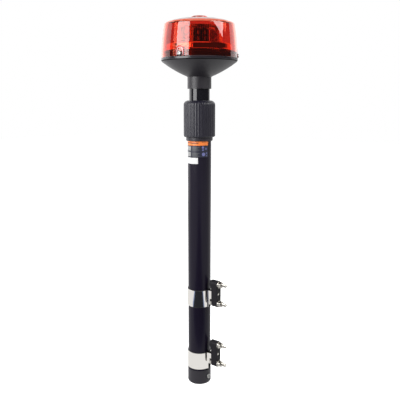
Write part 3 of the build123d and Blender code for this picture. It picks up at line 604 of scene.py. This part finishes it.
def sector(profile, columns):
    """A wedge of a turned form with a closed profile.

    The profile's rows are (radius, height, depth), its columns (angle, share of the depth).
    """
    shape = bmesh.new()
    rows = []
    for radius, height, depth in profile:
        row = []
        for angle, share in columns:
            turn = math.radians(angle)
            out = (radius - depth * share) * MM
            row.append(shape.verts.new((out * math.cos(turn), out * math.sin(turn), height * MM)))
        rows.append(row)
    for lower, upper in zip(rows, rows[1:] + rows[:1]):
        for i in range(len(columns) - 1):
            shape.faces.new((lower[i], lower[i + 1], upper[i + 1], upper[i])).smooth = True
    shape.normal_update()
    for edge in shape.edges:
        edge.smooth = edge.calc_face_angle(0.0) < SHARP_TURN
    return shape


def turned_form(name, profile, columns, count, surface):
    """A whole turned form of equal wedges; columns are (place from -1 to 1, share of the depth)."""
    half = 180 / count
    places = [(half * place, share) for place, share in columns]
    wedge = mesh_object(name + "_wedge", sector(profile, places))
    return repeated(name, wedge, count, MATERIALS[surface], 2 * math.pi / count)


GRIP_FOOT = 441.0
GRIP_TOP = 501.6
GRIP_R = 26.5
GRIP_MOUTH_R = 19.5
GRIP_FLUTES = 36
GRIP_FLUTE_DEPTH = 0.5
GRIP_SHOULDER = (8.5, 7.4)      # across and up
SHOULDER_STEP = 6.6             # degrees
SHOULDER_FADE = 9.5             # steps in which the flutes run out
GRIP_BORE = (                   # from under the wiper down the collet's cone to the thread
    (17.45, 495.4, 0), (17.45, 492.4, 0), (19.45, 492.4, 0), (21.45, 473.0, 0), (22.7, 470.4, 0),
)
GRIP_SIDE = (                   # radius, height and share of the flutes' depth
    (22.7, GRIP_FOOT + 0.3, 0), (23.0, GRIP_FOOT, 0), (24.7, GRIP_FOOT, 0),
    (25.1, GRIP_FOOT + 0.1, 0.1), (GRIP_R - 0.15, GRIP_FOOT + 1.4, 0.6),
    (GRIP_R, GRIP_FOOT + 2.0, 1), (GRIP_R, GRIP_FOOT + 3.0, 1),
)
GRIP_MOUTH = ((GRIP_MOUTH_R, GRIP_TOP - 0.6, 0), (GRIP_MOUTH_R, GRIP_TOP - 6.2, 0))


def make_grip():
    """Fluted grip with a full, rounded shoulder."""
    across, up = GRIP_SHOULDER
    shoulder = []
    for step in range(13):
        turn = math.radians(SHOULDER_STEP * step)
        fade = max(0.0, 1 - (step / SHOULDER_FADE) ** 2)
        radius = GRIP_R - across * (1 - math.cos(turn))
        shoulder.append((radius, GRIP_TOP - up * (1 - math.sin(turn)), fade))
    rows = (*GRIP_BORE, *GRIP_SIDE, *shoulder, *GRIP_MOUTH)
    profile = [(radius, height, GRIP_FLUTE_DEPTH * fade) for radius, height, fade in rows]
    places = [step / 5 for step in range(-5, 6)]
    columns = [(place, (1 + math.cos(math.pi * place)) / 2) for place in places]
    grip = turned_form("fluted_grip", profile, columns, GRIP_FLUTES, "grip_black")
    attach(grip, "grip")
    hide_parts("grip_collar")


SKIRT_RIBS = 96
SKIRT_PROFILE = (
    (37.9, 591.2, 0), (52.0, 590.6, 0), (52.6, 589.6, 0), (53.4, 583.0, 0), (54.2, 580.5, 0),
    (57.0, 580.5, 0), (57.0, 581.1, 0), (54.8, 582.0, 0.1), (54.2, 583.2, 0.15),
    (54.2, 589.8, 0.15), (53.6, 590.7, 0.2), (52.4, 591.5, 0), (41.5, 592.35, 0),
    (37.9, 592.35, 0),
)


def make_skirt():
    """Ribbed mirror skirt under the drum."""
    columns = ((-1, 1), (-0.5, 0.5), (0, 0), (0.5, 0.5), (1, 1))
    skirt = turned_form("mirror_skirt", SKIRT_PROFILE, columns, SKIRT_RIBS, "mirror_finish")
    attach(skirt, "head")
    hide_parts("reflector")


DRUM_FLUTES = 60
DRUM_PROFILE = (
    (33.0, 592.45, 0), (41.4, 592.45, 0), (41.4, 594.2, 0), (37.0, 594.4, 0), (37.0, 612.3, 0.2),
    (36.2, 612.6, 0), (36.2, 613.9, 0), (37.0, 614.2, 0.2), (37.0, 619.6, 0.2), (36.2, 620.3, 0),
    (0.5, 620.3, 0), (0.5, 618.2, 0), (33.0, 618.2, 0),
)


def make_drum():
    """Clear drum with shallow upright flutes and a closed top."""
    columns = ((-1, 0), (-0.4, 0), (0, 1), (0.4, 0), (1, 0))
    drum = turned_form("fluted_drum", DRUM_PROFILE, columns, DRUM_FLUTES, "clear_optic")
    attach(drum, "head")
    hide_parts("drum_optic")


CLAMPS = {"lower": (44.5, 61.0), "upper": (160.3, 171.5)}     # middles of the band and the bracket
BAND_R = 20.525
BAND_THICK = 0.6
BAND_HALF = 15.0
BAND_EDGE = 0.15
EAR_GAP = 3.4                 # from the middle to an ear
EAR_BEND = 2.5                # middle line of the bend into an ear
EAR_WINDOW = (25.5, 31.0)     # where an ear is cut away round a bolt's head
EAR_END = 36.9
EAR_RISE = 3.0                # from the bracket's foot to an ear's
HOOK_REACH = 1.0
BRACKET_HALF = 24.0
BOLT_SPREAD = 17.25
BOLT_HEAD = (26.5, 30.5)
BOLT_HEAD_R = 5.77
BOLT_SHANK_R = 2.6
BOLT_SHANK_START = 30.0
THREAD_R = 2.98
THREAD_ROOT_R = 2.55
THREAD_START = 48.8
THREAD_END = 57.4
THREAD_PITCH = 1.0
THREAD_RIDGE = ((0.0, THREAD_ROOT_R), (0.45, THREAD_R), (0.55, THREAD_R), (0.98, THREAD_ROOT_R))
BOLT_END = ((THREAD_END, BOLT_SHANK_R), (THREAD_END + 0.6, BOLT_SHANK_R - 0.5))
LOCK_SCREW = ((37.5, 3.0), (40.4, 3.0), (41.2, 2.5), (41.6, 1.5), (41.7, 0.4))


def block(shape, low, high):
    """Adds a box between two corners."""
    size = [(top - foot) * MM for foot, top in zip(low, high)]
    middle = Vector([(top + foot) / 2 for foot, top in zip(low, high)]) * MM
    place = Matrix.Translation(middle) @ Matrix.Diagonal((*size, 1))
    bmesh.ops.create_cube(shape, size=1.0, matrix=place)


def skin(shape, rings, smooth):
    """Joins rings of corners into a tube with closed ends."""
    count = len(rings[0])
    for first, second in zip(rings, rings[1:]):
        for i in range(count):
            j = (i + 1) % count
            shape.faces.new((first[i], first[j], second[j], second[i])).smooth = smooth
    shape.faces.new(rings[0][::-1])
    shape.faces.new(rings[-1])


def band_path():
    """Middle line of the band and its bends, as ((x, y), outward side), and the x of the ears."""
    middle = BAND_R + BAND_THICK / 2
    ear_y = EAR_GAP + BAND_THICK / 2
    bend_y = ear_y + EAR_BEND
    bend_x = math.sqrt((middle + EAR_BEND) ** 2 - bend_y ** 2)
    meet = math.degrees(math.atan2(bend_y, bend_x))
    half = [((bend_x, ear_y), (0.0, 1.0))]
    for step in range(1, 9):
        turn = math.radians(270 - (90 - meet) * step / 8)
        out = (math.cos(turn), math.sin(turn))
        half.append(((bend_x + EAR_BEND * out[0], bend_y + EAR_BEND * out[1]), (-out[0], -out[1])))
    for step in range(1, 41):
        turn = math.radians(meet + (180 - meet) * step / 40)
        out = (math.cos(turn), math.sin(turn))
        half.append(((middle * out[0], middle * out[1]), out))
    other = [((x, -y), (side_x, -side_y)) for (x, y), (side_x, side_y) in half[-2::-1]]
    return half + other, bend_x


def make_band(side):
    """Polished band with two hooked ears that end inside the bracket."""
    middle, bracket = CLAMPS[side]
    low, high = middle - BAND_HALF, middle + BAND_HALF
    path, start = band_path()
    shape = bmesh.new()
    rings = []
    for (x, y), (side_x, side_y) in path:
        half = BAND_THICK / 2
        corners = [(-half, low), (half - BAND_EDGE, low), (half, low + BAND_EDGE),
                   (half, high - BAND_EDGE), (half - BAND_EDGE, high), (-half, high)]
        rings.append([shape.verts.new(Vector((x + side_x * shift, y + side_y * shift, height)) * MM)
                      for shift, height in corners])
    skin(shape, rings, True)
    bmesh.ops.recalc_face_normals(shape, faces=shape.faces[:])
    for edge in shape.edges:
        edge.smooth = edge.calc_face_angle(0.0) < SHARP_TURN
    foot = bracket - BRACKET_HALF + EAR_RISE
    cut, uncut = EAR_WINDOW
    window = bracket - BOLT_SPREAD + BOLT_HEAD_R + 0.6
    for sign in (-1, 1):
        near, far = sorted((sign * EAR_GAP, sign * (EAR_GAP + BAND_THICK)))
        block(shape, (start, near, foot), (cut, far, high))
        block(shape, (cut, near, window), (uncut, far, high))
        block(shape, (uncut, near, foot), (EAR_END, far, high))
        hook = sorted((sign * EAR_GAP, sign * (EAR_GAP + BAND_THICK + HOOK_REACH)))
        block(shape, (EAR_END - BAND_THICK, hook[0], foot), (EAR_END, hook[1], high))
    band = mesh_object(side + "_band", shape, MATERIALS["polished_steel"])
    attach(band, "mast")
    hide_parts(side + "_clamp_band")


def turned_x(shape, profile, z, corners=24, start=0.0):
    """Adds a closed form turned about a line along X at a height, from (x, radius) rows."""
    rings = []
    for x, radius in profile:
        turns = [math.radians(start + 360 * step / corners) for step in range(corners)]
        rings.append([shape.verts.new((x * MM, radius * math.cos(turn) * MM,
                                       (z + radius * math.sin(turn)) * MM)) for turn in turns])
    skin(shape, rings, False)


def make_lock_screw(side):
    """Domed screw in the bracket's middle hole."""
    shape = bmesh.new()
    turned_x(shape, LOCK_SCREW, CLAMPS[side][1])
    screw = mesh_object(side + "_domed_screw", shape, MATERIALS["zinc_steel"])
    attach(screw, "mast")
    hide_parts(side + "_lock_screw")


def make_bolts(side):
    """Hexagon bolts with a threaded free end."""
    bracket = CLAMPS[side][1]
    shape = bmesh.new()
    heights = (bracket - BOLT_SPREAD, bracket + BOLT_SPREAD)
    start, end = BOLT_HEAD
    for height in heights:
        head = [(start, BOLT_HEAD_R - 0.5), (start + 0.3, BOLT_HEAD_R), (end, BOLT_HEAD_R)]
        turned_x(shape, head, height, 6, 30)
        turned_x(shape, [(BOLT_SHANK_START, BOLT_SHANK_R), *BOLT_END], height)
    bolts = mesh_object(side + "_bolts", shape, MATERIALS["zinc_steel"])
    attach(bolts, "mast")
    ridge = bmesh.new()
    for height in heights:
        turned_x(ridge, [(THREAD_START + x, radius) for x, radius in THREAD_RIDGE], height)
    count = int((THREAD_END - THREAD_START) / THREAD_PITCH)
    threads = repeated(side + "_threads", mesh_object("ridge", ridge), count,
                       MATERIALS["zinc_steel"], step=(THREAD_PITCH * MM, 0, 0))
    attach(threads, "mast")
    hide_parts(side + "_bracket_bolts")


ARCH_ANGLES = (-82.6, 37.4, 157.4)     # about Z, from +X
ARCH_RIMS = (                          # half width, line's radius, name, colour
    # painted light: the outer rim's dark red stands in for the deeper red of the pocket wall seen
    # edge-on, the inner rim's pale pink for a highlight
    (6.9, 0.75, "outer_rim", (0.42, 0.03, 0.03)),
    (5.3, 0.7, "inner_rim", (0.85, 0.5, 0.5)),
)
ARCH_FOOT = 570.4
ARCH_MIDDLE = 577.8                    # height of the round top's middle
ARCH_SEAT_R = 62.1
ARCH_LEAN = 0.055                      # of the lens's wall, inwards for each mm up
LINE_SIDES = 8


def make_arches(half_width, line, name, colour):
    """A raised rim round each of the lens's screw pockets, opaque, in a colour of painted light."""
    shape = bmesh.new()
    for angle in ARCH_ANGLES:
        turns = [math.radians(turn) for turn in range(180, -1, -12)]
        round_top = [(half_width * math.cos(turn), ARCH_MIDDLE + half_width * math.sin(turn))
                     for turn in turns]
        path = [(-half_width, ARCH_FOOT), *round_top, (half_width, ARCH_FOOT)]
        facing = math.radians(angle)
        out = Vector((math.cos(facing), math.sin(facing), 0))
        side = Vector((-out.y, out.x, 0))
        rings = []
        for i, (across, height) in enumerate(path):
            before = Vector(path[max(i - 1, 0)])
            after = Vector(path[min(i + 1, len(path) - 1)])
            run = (after - before).normalized()
            normal = Vector((-run.y, run.x))
            seat = math.sqrt(ARCH_SEAT_R ** 2 - across ** 2) - ARCH_LEAN * (height - ARCH_FOOT)
            ring = []
            for step in range(LINE_SIDES):
                turn = 2 * math.pi / LINE_SIDES * step
                shift = normal * line * math.cos(turn)
                place = out * (seat + line * math.sin(turn)) + side * (across + shift.x)
                place.z = height + shift.y
                ring.append(shape.verts.new(place * MM))
            rings.append(ring)
        skin(shape, rings, True)
    bmesh.ops.recalc_face_normals(shape, faces=shape.faces[:])
    arches = mesh_object("lens_" + name, shape, plain_finish(name, colour, 0.2))
    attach(arches, "head")


# Studio, with sizes in m

CARD_AIM = Vector((0, 0, 0.4))  # the middle of what the cards light
CARD_DISTANCE = 1.5
FLOOR_SIDE = 6.0                # from the mast to the floor's edge


def add_card(name, corners, strength):
    """A bright sheet seen only in light and reflections, that shines towards the mast."""
    mesh = bpy.data.meshes.new(name)
    mesh.from_pydata([tuple(corner) for corner in corners], [], [tuple(range(len(corners)))])
    mesh.update()
    face = mesh.polygons[0]
    if face.normal.dot(CARD_AIM - face.center) < 0:
        mesh.flip_normals()
    card = bpy.data.objects.new(name, mesh)
    bpy.context.scene.collection.objects.link(card)
    material = bpy.data.materials.new(name)
    material.use_nodes = True
    tree = material.node_tree
    tree.nodes.clear()
    behind = node(tree, "ShaderNodeNewGeometry").outputs["Backfacing"]
    clear = node(tree, "ShaderNodeBsdfTransparent").outputs["BSDF"]
    shown = mix_of(tree, behind, glow_of(tree, strength).outputs["Emission"], clear)
    output = node(tree, "ShaderNodeOutputMaterial")
    tree.links.new(shown, output.inputs["Surface"])
    mesh.materials.append(material)
    card.visible_camera = False
    card.visible_shadow = False


def upright_card(name, start, end, low, high, strength, distance=CARD_DISTANCE):
    """A card between two angles from the camera's side and two heights."""
    corners = [from_camera(start, distance, low), from_camera(end, distance, low),
               from_camera(end, distance, high), from_camera(start, distance, high)]
    add_card(name, corners, strength)


def glow_of(tree, strength, colour=(1, 1, 1)):
    """A plain glow."""
    made = node(tree, "ShaderNodeEmission")
    made.inputs["Color"].default_value = (*colour, 1)
    made.inputs["Strength"].default_value = strength
    return made


# Light levels that the floor and the surroundings show to each kind of ray
FLOOR_LIFT = 0.75               # added for the camera
FLOOR_DIFFUSE = 0.25
FLOOR_NEAR = 0.95               # in reflections
FLOOR_DARK = (0.03, (0.75, 0.8, 1.0))
FLOOR_FRINGE = (0.55, (0.45, 0.6, 1.0))
WORLD_GLOSSY = 0.07             # the surroundings in reflections
WORLD_DIFFUSE = 0.45            # and as soft light
DARK_ACROSS = (-0.42, 0.33)     # the dark part of the floor in front of the mast
DARK_OUT = (0.15, 1.9)


def along(tree, place, direction):
    """How far a place lies out from the mast in a direction."""
    made = node(tree, "ShaderNodeVectorMath", operation="DOT_PRODUCT")
    made.inputs[1].default_value = direction
    tree.links.new(place, made.inputs[0])
    return made.outputs["Value"]


def dark_patch(tree):
    """1 on the dark part of the floor in front of the mast, 0 elsewhere."""
    place = node(tree, "ShaderNodeTexCoord").outputs["Object"]
    across = along(tree, place, RIGHT)
    out = along(tree, place, TOWARDS)
    left, right = DARK_ACROSS
    near, far = DARK_OUT
    sides = times(tree, ramp(tree, across, left, left + 0.09),
                  ramp(tree, across, right, right - 0.09))
    ends = times(tree, ramp(tree, out, near, near + 0.05), ramp(tree, out, far, far - 0.3))
    return times(tree, sides, ends)


def make_floor():
    """Pale floor with the mast's shadow; reflections show it dark in front of the mast."""
    side = FLOOR_SIDE
    mesh = bpy.data.meshes.new("floor")
    mesh.from_pydata([(-side, -side, 0), (side, -side, 0), (side, side, 0), (-side, side, 0)], [],
                     [(0, 1, 2, 3)])
    floor = bpy.data.objects.new("floor", mesh)
    bpy.context.scene.collection.objects.link(floor)
    material = bpy.data.materials.new("floor_paper")
    material.use_nodes = True
    tree = material.node_tree
    shader = tree.nodes["Principled BSDF"]
    set_inputs(shader, Base_Color=(0.86, 0.86, 0.86, 1), Roughness=0.9)
    path = node(tree, "ShaderNodeLightPath")
    lifted = node(tree, "ShaderNodeAddShader")
    tree.links.new(shader.outputs["BSDF"], lifted.inputs[0])
    tree.links.new(glow_of(tree, FLOOR_LIFT).outputs["Emission"], lifted.inputs[1])
    white = glow_of(tree, FLOOR_NEAR).outputs["Emission"]
    dark = glow_of(tree, *FLOOR_DARK).outputs["Emission"]
    mask = dark_patch(tree)
    edge = glow_of(tree, *FLOOR_FRINGE).outputs["Emission"]
    fringe = mix_of(tree, ramp(tree, mask, 0.0, 0.4), white, edge)
    mirrored = mix_of(tree, ramp(tree, mask, 0.6, 1.0), fringe, dark)
    soft = glow_of(tree, FLOOR_DIFFUSE).outputs["Emission"]
    shown = mix_of(tree, path.outputs["Is Diffuse Ray"], mirrored, soft)
    shown = mix_of(tree, path.outputs["Is Camera Ray"], shown, lifted.outputs["Shader"])
    tree.links.new(shown, tree.nodes["Material Output"].inputs["Surface"])
    mesh.materials.append(material)


def make_world():
    """White to the eye and through clear parts, dimmer in reflections."""
    world = bpy.data.worlds.new("studio")
    bpy.context.scene.world = world
    world.use_nodes = True
    tree = world.node_tree
    tree.nodes.clear()
    levels = []
    for level in (WORLD_GLOSSY, WORLD_DIFFUSE, 1.0):
        made = node(tree, "ShaderNodeBackground")
        made.inputs["Color"].default_value = (1, 1, 1, 1)
        made.inputs["Strength"].default_value = level
        levels.append(made.outputs["Background"])
    path = node(tree, "ShaderNodeLightPath")
    seen = node(tree, "ShaderNodeMath", operation="MAXIMUM")
    tree.links.new(path.outputs["Is Camera Ray"], seen.inputs[0])
    tree.links.new(path.outputs["Is Transmission Ray"], seen.inputs[1])
    shown = mix_of(tree, path.outputs["Is Diffuse Ray"], levels[0], levels[1])
    shown = mix_of(tree, seen.outputs[0], shown, levels[2])
    output = node(tree, "ShaderNodeOutputWorld")
    tree.links.new(shown, output.inputs["Surface"])


def make_lights():
    upright_card("left_window", -72, -31, 0.36, 0.66, 6.5)
    upright_card("left_window_top", -72, -31, 0.66, 1.5, 9.5)
    upright_card("left_softbox", -98, -165, 0.1, 1.7, 1.8)
    upright_card("right_softbox", 124, 165, 0.1, 0.66, 0.7)
    upright_card("right_softbox_top", 108, 165, 0.68, 1.7, 1.7)
    upright_card("backdrop", 140, 220, 1.0, 3.0, 1.1, 2.0)
    window = [(37, 1.8), (84, 1.8), (84, 1.27), (83, 1.14), (74, 0.97), (37, 1.27)]
    corners = [from_camera(angle, CARD_DISTANCE, height) for angle, height in window]
    add_card("right_window", corners, 9.0)
    roof = [from_camera(angle, 0.8, 2.2) for angle in (-135, -45, 45, 135)]
    add_card("top_softbox", roof, 1.3)


make_camera()
make_world()
make_floor()
make_lights()
dress_cad_nodes()
make_label()
make_grip()
make_skirt()
make_drum()
for clamp in CLAMPS:
    make_band(clamp)
    make_bolts(clamp)
    make_lock_screw(clamp)
for rim in ARCH_RIMS:
    make_arches(*rim)

bpy.context.scene.view_settings.view_transform = "Standard"
